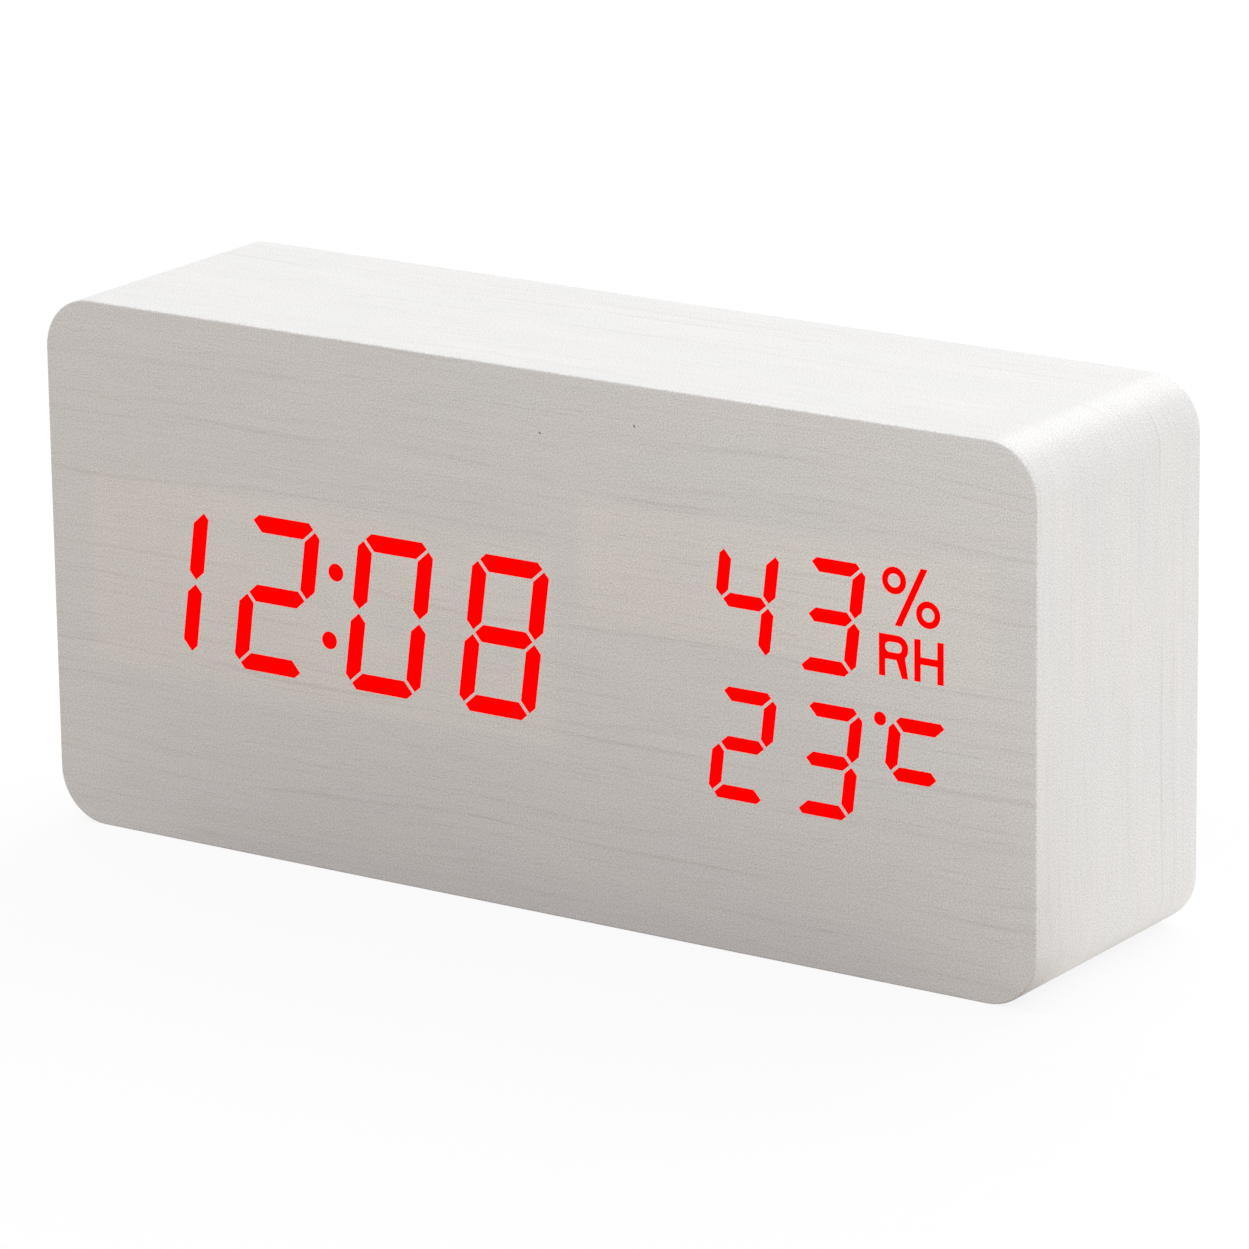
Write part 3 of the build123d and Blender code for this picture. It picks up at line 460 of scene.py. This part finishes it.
def printed_film(tree, sockets, position):
    """The printed film's colour, sheen and touch, for grain that runs along X of a position."""
    inputs = {"Position": position, "Line Depth": film_line_depth, "Stipple": film_stipple}
    skin = use_group(tree, film_print, inputs)
    tree.links.new(ease(tree, skin["Tone"], *film_tone_range, *film_gloss), sockets["Roughness"])
    raise_skin(tree, sockets, skin["Height"], film_bump, film_bump_height)
    sockets["IOR"].default_value = film_ior
    return skin["Color"]


def area_mask(tree, x, z, area):
    """One inside a rectangle of the front, zero outside and easing over its edge."""
    left, right, low, high = area
    sides = ((x, left, 1), (x, right, -1), (z, low, 1), (z, high, -1))
    mask = 1.0
    for value, edge, sense in sides:
        reach = sense * display_area_edge
        mask = calculate(tree, "MULTIPLY", mask, ease(tree, value, edge - reach, edge + reach))
    return mask


def front_film_finish():
    """The front's film, paler over the displays, with two specks in its print."""
    material, tree, sockets = new_material("film_front")
    axes = split(tree, object_place(tree))
    position = flat_place(tree, axes["X"], axes["Z"])
    colour = printed_film(tree, sockets, position)
    for area in display_areas:
        mask = area_mask(tree, axes["X"], axes["Z"], area)
        colour = colour_mix(tree, mask, colour, rgba(display_area_tint), "MULTIPLY")
    for x, z in speck_places:
        inputs = {0: position, 1: (x, z, 0.0)}
        distance = add(tree, "VectorMath", inputs, operation="DISTANCE").outputs["Value"]
        mask = ease(tree, distance, speck_radius, speck_radius / 2)
        colour = colour_mix(tree, mask, colour, rgba(speck_colour))
    tree.links.new(colour, sockets["Base Color"])
    return material


def back_film_finish():
    """The back's film, from another length of the same print."""
    material, tree, sockets = new_material("film_back")
    axes = split(tree, object_place(tree))
    further = calculate(tree, "ADD", axes["X"], back_film_offset)
    position = flat_place(tree, further, axes["Z"])
    tree.links.new(printed_film(tree, sockets, position), sockets["Base Color"])
    return material


def wrap_film_finish():
    """The strip's film, whose grain runs round the case."""
    material, tree, sockets = new_material("film_wrap")
    run = add(tree, "UVMap", uv_map="run").outputs[0]
    tree.links.new(printed_film(tree, sockets, run), sockets["Base Color"])
    return material


def lit_finish():
    """Film lit red from behind, where the print's grain dims the light a little."""
    material, tree, sockets = new_material("lit_red")
    axes = split(tree, object_place(tree))
    position = flat_place(tree, axes["X"], axes["Z"])
    inputs = {"Position": position, "Line Depth": lit_line_depth, "Stipple": lit_stipple}
    skin = use_group(tree, film_print, inputs)
    light = ease(tree, skin["Tone"], *lit_tone_range, *lit_light_range)
    red = add(tree, "CombineColor", {"Red": light, "Green": 0.0, "Blue": 0.0}).outputs[0]
    tree.links.new(red, sockets["Emission Color"])
    sockets["Emission Strength"].default_value = lit_strength
    sockets["Base Color"].default_value = rgba((0.0, 0.0, 0.0))
    sockets["Specular IOR Level"].default_value = 0.0
    sockets["Roughness"].default_value = lit_roughness
    return material


def plastic_finish(name, low, high, gloss, grain, depth):
    """Moulded plastic between two tones, with a roughness range and a skin of some grain and depth."""
    material, tree, sockets = new_material(name)
    skin = use_group(tree, moulded_skin, {"Position": object_place(tree), "Grain Size": grain})
    tree.links.new(colour_mix(tree, skin["Tone"], rgba(low), rgba(high)), sockets["Base Color"])
    tree.links.new(ease(tree, skin["Tone"], *skin_tone_range, *gloss), sockets["Roughness"])
    raise_skin(tree, sockets, skin["Height"], depth, grain)
    return material


def metal_finish(name, low, high, gloss):
    """Bare or plated metal between two tones, with a roughness range."""
    material, tree, sockets = new_material(name)
    skin = use_group(tree, metal_skin, {"Position": object_place(tree)})
    tree.links.new(colour_mix(tree, skin["Tone"], rgba(low), rgba(high)), sockets["Base Color"])
    tree.links.new(ease(tree, skin["Tone"], 0.0, 1.0, *gloss), sockets["Roughness"])
    raise_skin(tree, sockets, skin["Height"], metal_bump, metal_bump_height)
    sockets["Metallic"].default_value = 1.0
    return material


def fibreboard_finish():
    """Pressed wood fibres."""
    material, tree, sockets = new_material("fibreboard")
    place = object_place(tree)
    fibres = cloud(tree, place, fibre_size, rich_cloud)
    flakes = cloud(tree, place, flake_size)
    tone = weighted_sum(tree, middle_tone, [(fibres, fibre_tone), (flakes, flake_tone)])
    colour = colour_mix(tree, tone, rgba(fibreboard_dark), rgba(fibreboard_light))
    tree.links.new(colour, sockets["Base Color"])
    raise_skin(tree, sockets, fibres, fibre_bump, fibre_bump_height)
    sockets["Roughness"].default_value = fibreboard_roughness
    return material


def circuit_finish():
    """Green solder mask over copper tracks."""
    material, tree, sockets = new_material("circuit_green")
    place = object_place(tree)
    inputs = {"Vector": place, "Scale": track_scale, "Randomness": track_scatter}
    cells = add(tree, "TexVoronoi", inputs, feature="DISTANCE_TO_EDGE", voronoi_dimensions="3D")
    tracks = ease(tree, cells.outputs["Distance"], *track_edge)
    weave = cloud(tree, place, weave_size)
    colour = colour_mix(tree, tracks, rgba(board_green), rgba(track_green))
    tree.links.new(colour, sockets["Base Color"])
    tree.links.new(ease(tree, weave, *weave_range, *board_gloss), sockets["Roughness"])
    raise_skin(tree, sockets, tracks, track_bump, track_bump_height)
    return material


def sleeve_finish():
    """A cell's printed shrink sleeve: a dark body, a copper band at the nub and two fine stripes."""
    material, tree, sockets = new_material("cell_sleeve")
    along = split(tree, add(tree, "UVMap", uv_map="sleeve").outputs[0])["X"]
    soft = cell_print_edge
    band = ease(tree, along, cell_band_share + soft, cell_band_share - soft)
    stripe = 0.0
    for start in cell_stripe_starts:
        end = start + cell_stripe_share
        rise = ease(tree, along, start - soft, start + soft)
        fall = ease(tree, along, end + soft, end - soft)
        stripe = calculate(tree, "MULTIPLY_ADD", rise, fall, stripe)
    speckle = cloud(tree, object_place(tree), speckle_size)
    tone = calculate(tree, "ADD", speckle, middle_tone)
    body = colour_mix(tree, tone, rgba(sleeve_dark), rgba(sleeve_light))
    copper = colour_mix(tree, tone, rgba(copper_dark), rgba(copper_light))
    colour = colour_mix(tree, band, body, copper)
    colour = colour_mix(tree, stripe, colour, rgba(stripe_colour))
    tree.links.new(colour, sockets["Base Color"])
    tree.links.new(ease(tree, speckle, *speckle_range, *sleeve_gloss), sockets["Roughness"])
    tree.links.new(calculate(tree, "MULTIPLY", band, band_metallic), sockets["Metallic"])
    return material


finishes = {
    "wood_film": back_film_finish(),
    "fibreboard": fibreboard_finish(),
    "lit_red": lit_finish(),
    "circuit_green": circuit_finish(),
    "cell_sleeve": sleeve_finish(),
}
for name, plastic in plastics.items():
    finishes[name] = plastic_finish(name, *plastic)
for name, metal in metals.items():
    finishes[name] = metal_finish(name, *metal)


def new_mesh(name, shape):
    """A mesh from a finished shape."""
    mesh = bpy.data.meshes.new(name)
    shape.to_mesh(mesh)
    shape.free()
    return mesh


def new_object(name, data):
    """An object in the scene for a mesh, a light or a camera."""
    item = bpy.data.objects.new(name, data)
    bpy.context.scene.collection.objects.link(item)
    return item


def shade_evenly(mesh, crease):
    """Shade a mesh smooth where its faces meet within a crease angle, with its large flat faces kept flat."""
    limit = math.radians(crease)
    around = {}
    for face in mesh.polygons:
        for vertex in face.vertices:
            around.setdefault(vertex, []).append(face)
    normals = []
    for face in mesh.polygons:
        for vertex in face.vertices:
            near = [other for other in around[vertex] if face.normal.angle(other.normal, 0.0) < limit]
            normals.append(sum((other.area * other.normal for other in near), Vector()).normalized())
    mesh.shade_smooth()
    mesh.normals_split_custom_set(normals)


def new_piece(name, shape, materials, node, crease, body="clock_case"):
    """An object of its own that stands for a CAD node, shaded smooth up to a crease angle."""
    mesh = new_mesh(name, shape)
    piece = new_object(name, mesh)
    for material in materials:
        mesh.materials.append(material)
    shade_evenly(mesh, crease)
    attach(piece, body)
    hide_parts(node)


def rounded_outline(low, high):
    """A flat upright face with the case's rounded outline, at the front of a box."""
    middle = (low + high) / 2
    shape = bmesh.new()
    bmesh.ops.create_grid(shape, x_segments=1, y_segments=1, size=0.5)
    bmesh.ops.scale(shape, vec=(high.x - low.x, high.z - low.z, 1.0), verts=shape.verts)
    upright = Matrix.Rotation(math.radians(90), 3, "X")
    bmesh.ops.rotate(shape, matrix=upright, verts=shape.verts)
    bmesh.ops.translate(shape, vec=(middle.x, low.y, middle.z), verts=shape.verts)
    bmesh.ops.bevel(
        shape, geom=shape.verts[:], offset=film_corner_radius, segments=film_corner_segments,
        profile=0.5, affect="VERTICES", material=-1,
    )
    return shape


def mark_run(shape):
    """Note how far each point of an outline lies along it, from the base's left end, and give its length."""
    distance = shape.verts.layers.float.new("distance")
    loops = list(shape.faces[:][0].loops)
    places = [(round(loop.vert.co.z, outline_digits), loop.vert.co.x) for loop in loops]
    start = places.index(min(places))
    length = 0.0
    for loop in loops[start:] + loops[:start]:
        loop.vert[distance] = length
        length += loop.edge.calc_length()
    return length


def lay_run(shape, length):
    """Give a strip's faces their place along it and across it, also where it closes on itself."""
    run = shape.loops.layers.uv.new("run")
    distance = shape.verts.layers.float["distance"]
    for face in shape.faces:
        ends = [loop.vert[distance] for loop in face.loops]
        for loop, end in zip(face.loops, ends):
            wrapped = end + length if max(ends) - end > length / 2 else end
            loop[run].uv = (wrapped, loop.vert.co.y)


def wrap_strip():
    """The strip of film round the top, sides and base, with the distance along it kept for its grain."""
    low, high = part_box("wrap_film")
    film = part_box("front_film")
    thickness = film[1].y - film[0].y
    shape = rounded_outline(low, high)
    length = mark_run(shape)
    inset = bmesh.ops.inset_region(
        shape, faces=shape.faces[:], thickness=thickness, use_boundary=True, use_even_offset=True,
    )
    inner = [face for face in shape.faces if face not in inset["faces"]]
    bmesh.ops.delete(shape, geom=inner, context="FACES_ONLY")
    pulled = bmesh.ops.extrude_face_region(shape, geom=shape.faces[:])["geom"]
    moved = [item for item in pulled if isinstance(item, bmesh.types.BMVert)]
    bmesh.ops.translate(shape, vec=(0.0, high.y - low.y, 0.0), verts=moved)
    bmesh.ops.recalc_face_normals(shape, faces=shape.faces[:])
    lay_run(shape, length)
    new_piece("wrap_strip", shape, [wrap_film_finish()], "wrap_film", film_crease)


def outline_gap(place, low, high):
    """How far a point lies from the case's rounded outline, seen from the front."""
    middle = (low + high) / 2
    over_x = abs(place.x - middle.x) - (high.x - low.x) / 2 + film_corner_radius
    over_z = abs(place.z - middle.z) - (high.z - low.z) / 2 + film_corner_radius
    outside = math.hypot(max(over_x, 0.0), max(over_z, 0.0))
    return abs(outside + min(max(over_x, over_z), 0.0) - film_corner_radius)


def softened_copy(node, face_y, radius, chosen):
    """A copy of a node's mesh with the chosen edges of one face rounded over."""
    shape = bmesh.new()
    shape.from_mesh(frame["nodes"][node].data)
    bmesh.ops.remove_doubles(shape, verts=shape.verts, dist=soft_edge_merge)
    rim = [
        edge for edge in shape.edges
        if edge.calc_face_angle(0.0) > math.radians(soft_edge_angle)
        and all(abs(vert.co.y - face_y) < soft_edge_touch and chosen(vert.co) for vert in edge.verts)
    ]
    bmesh.ops.bevel(
        shape, geom=rim, offset=radius, segments=soft_edge_segments,
        profile=0.5, affect="EDGES", material=-1,
    )
    bmesh.ops.remove_doubles(shape, verts=shape.verts, dist=soft_edge_merge)
    return shape


def film_sheet(node, name, face_y, material):
    """A flat sheet of film with its outer rim rounded over on the side that shows."""
    low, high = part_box(node)
    shape = softened_copy(
        node, face_y, film_rim_radius, lambda place: outline_gap(place, low, high) < soft_edge_touch,
    )
    new_piece(name, shape, [material], node, film_crease)


def moulded_back():
    """The rear panel and its battery door with soft edges round the recess, the bay and the door."""
    black = [finishes["panel_black"]]
    shape = softened_copy(
        "rear_panel", cad_high.y, panel_edge_radius, lambda place: abs(place.x) < panel_soft_reach,
    )
    new_piece("rear_panel_moulded", shape, black, "rear_panel", panel_crease)
    shape = softened_copy("battery_door", cad_high.y, door_edge_radius, lambda place: True)
    new_piece(
        "battery_door_moulded", shape, black, "battery_door", panel_crease, "battery_flap",
    )


def cell_profile():
    """How far each turn of a cell's outline lies from the nub's tip, and its radius."""
    shoulder = cell_nub_height
    corner = cell_sleeve_round * (1 - math.sqrt(0.5))
    return [
        (0.0, 0.0),
        (0.0, cell_nub_radius - cell_nub_round),
        (cell_nub_round, cell_nub_radius),
        (shoulder + cell_sink, cell_nub_radius),
        (shoulder + cell_sink, cell_gasket_radius),
        (shoulder, cell_gasket_radius),
        (shoulder, cell_lip_radius),
        (shoulder, cell_radius - cell_sleeve_round),
        (shoulder + corner, cell_radius - corner),
        (shoulder + cell_sleeve_round, cell_radius),
        (cell_length - cell_sleeve_round, cell_radius),
        (cell_length - corner, cell_radius - corner),
        (cell_length, cell_radius - cell_sleeve_round),
        (cell_length, cell_lip_radius),
        (cell_length - cell_base_sink, cell_lip_radius),
        (cell_length - cell_base_sink, 0.0),
    ]


def lay_sleeve(shape, tip, middle):
    """Sort a cell's faces into sleeve and bare metal, with their place along the cell and round it."""
    sleeve = shape.loops.layers.uv.new("sleeve")
    for face in shape.faces:
        centre = face.calc_center_median()
        reach = math.hypot(centre.y - middle.y, centre.z - middle.z)
        face.material_index = 0 if reach > cell_lip_radius else 1
        for loop in face.loops:
            place = loop.vert.co
            turn = math.atan2(place.y - middle.y, place.z - middle.z) / full_turn
            loop[sleeve].uv = (abs(place.x - tip) / cell_length, turn)


def battery_cell(node, sense):
    """A cell with its nub, gasket, sleeve and base, spun about its axis."""
    low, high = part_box(node)
    middle = (low + high) / 2
    tip = high.x if sense > 0 else low.x
    shape = bmesh.new()
    points = [
        shape.verts.new((tip - sense * along, middle.y, middle.z + radius))
        for along, radius in cell_profile()
    ]
    edges = [shape.edges.new(pair) for pair in zip(points, points[1:])]
    bmesh.ops.spin(
        shape, geom=points + edges, cent=middle, axis=(1.0, 0.0, 0.0),
        angle=full_turn, steps=cell_steps, use_merge=True,
    )
    bmesh.ops.remove_doubles(shape, verts=shape.verts, dist=cell_merge)
    bmesh.ops.recalc_face_normals(shape, faces=shape.faces[:])
    lay_sleeve(shape, tip, middle)
    materials = [finishes["cell_sleeve"], finishes["bright_metal"]]
    new_piece(node + "_sleeved", shape, materials, node, cell_crease)


def dress_nodes():
    """Give every carried-over CAD node the finish of its slot."""
    for part in frame["record"]["subparts"]:
        mesh = frame["nodes"][part["node"]].data
        mesh.materials.clear()
        mesh.materials.append(finishes[part["material_slot"]])


def seen_directly(tree):
    """One for rays from the camera, also by way of a mirror or glass, and zero for the light of the room."""
    path = add(tree, "LightPath").outputs
    seen = calculate(tree, "MAXIMUM", path["Is Camera Ray"], path["Is Glossy Ray"])
    return calculate(tree, "MAXIMUM", seen, path["Is Transmission Ray"])


def floor_bounce(tree):
    """The floor's colour for the light it throws back, with painted shade before the clock, brown at its foot.
    """
    axes = split(tree, object_place(tree))
    # Painted shade: the floor before the clock throws back less light, as though the clock's shadow fell there
    before = ease(tree, axes["Y"], cad_low.y + floor_front_edge, cad_low.y)
    leftward = ease(tree, axes["X"], cad_high.x + floor_clear_end, cad_high.x + floor_clear_start)
    front = calculate(tree, "MULTIPLY", before, leftward)
    ground = colour_mix(tree, front, rgba(floor_colour), rgba(floor_front_shade_colour))
    # Painted shadow at the clock's foot, brown and darkest next to the front
    near = ease(tree, axes["Y"], cad_low.y - floor_shade_reach, cad_low.y)
    aside = calculate(tree, "ABSOLUTE", axes["X"])
    middle = ease(tree, aside, cad_high.x, cad_high.x - floor_shade_reach)
    shade = calculate(tree, "MULTIPLY", calculate(tree, "MULTIPLY", near, middle), front)
    return colour_mix(tree, shade, ground, rgba(floor_shade_colour))


def floor_finish():
    """A floor that looks white with a soft shadow, and lights the clock by colours that carry painted shade
    before it.
    """
    material, tree = empty_material("floor")
    pale = add(tree, "BsdfDiffuse", {"Color": floor_bounce(tree)}).outputs[0]
    lit = add(tree, "BsdfDiffuse", {"Color": rgba(studio_white)}).outputs[0]
    glow = {"Color": rgba(studio_white), "Strength": studio_white_strength}
    white = add(tree, "Emission", glow).outputs[0]
    shown = add(tree, "MixShader", {0: floor_shadow_share, 1: white, 2: lit}).outputs[0]
    mixed = add(tree, "MixShader", {0: seen_directly(tree), 1: pale, 2: shown}).outputs[0]
    add(tree, "OutputMaterial", {"Surface": mixed})
    return material


def studio_floor():
    """A large floor just under the clock."""
    shape = bmesh.new()
    bmesh.ops.create_grid(shape, x_segments=1, y_segments=1, size=floor_size / 2)
    bmesh.ops.translate(shape, vec=(0.0, 0.0, cad_low.z - floor_drop), verts=shape.verts)
    mesh = new_mesh("floor", shape)
    mesh.materials.append(floor_finish())
    floor = new_object("floor", mesh)


def studio_sky():
    """Even light from all round that looks white behind the clock."""
    world = bpy.data.worlds.new("studio")
    bpy.context.scene.world = world
    world.use_nodes = True
    tree = world.node_tree
    tree.nodes.clear()
    room = add(tree, "Background", {"Color": rgba(sky_colour), "Strength": sky_strength}).outputs[0]
    glow = {"Color": rgba(studio_white), "Strength": studio_white_strength}
    white = add(tree, "Background", glow).outputs[0]
    mixed = add(tree, "MixShader", {0: seen_directly(tree), 1: room, 2: white}).outputs[0]
    add(tree, "OutputWorld", {"Surface": mixed})


def studio_lamp():
    """One large soft lamp."""
    light = bpy.data.lights.new("lamp", "AREA")
    light.shape = "SQUARE"
    light.size = lamp_size
    light.energy = lamp_power
    light.color = lamp_colour
    lamp = new_object("lamp", light)
    direction = lamp_direction.normalized()
    lamp.location = camera_aim + lamp_distance * direction
    lamp.rotation_euler = direction.to_track_quat("Z", "Y").to_euler()


def photo_camera():
    """A camera where the photograph was taken from."""
    data = bpy.data.cameras.new("camera")
    data.lens = camera_lens
    data.sensor_width = camera_sensor
    camera = new_object("camera", data)
    azimuth = math.radians(camera_azimuth)
    elevation = math.radians(camera_elevation)
    level = math.cos(elevation)
    back = Vector((math.sin(azimuth) * level, -math.cos(azimuth) * level, math.sin(elevation)))
    right = Vector((0.0, 0.0, 1.0)).cross(back).normalized()
    roll = Matrix.Rotation(math.radians(camera_roll), 3, back)
    right = roll @ right
    up = back.cross(right)
    place = camera_aim + camera_distance * back - camera_slide * right + camera_lift * up
    turn = Matrix((right, up, back)).transposed()
    camera.matrix_world = Matrix.Translation(place) @ turn.to_4x4()
    bpy.context.scene.camera = camera


dress_nodes()
wrap_strip()
film_sheet("front_film", "front_sheet", cad_low.y, front_film_finish())
film_sheet("back_film", "back_sheet", cad_high.y, finishes["wood_film"])
moulded_back()
for node, sense in cell_senses.items():
    battery_cell(node, sense)

studio_floor()
studio_sky()
studio_lamp()
photo_camera()
bpy.context.scene.view_settings.view_transform = "Standard"
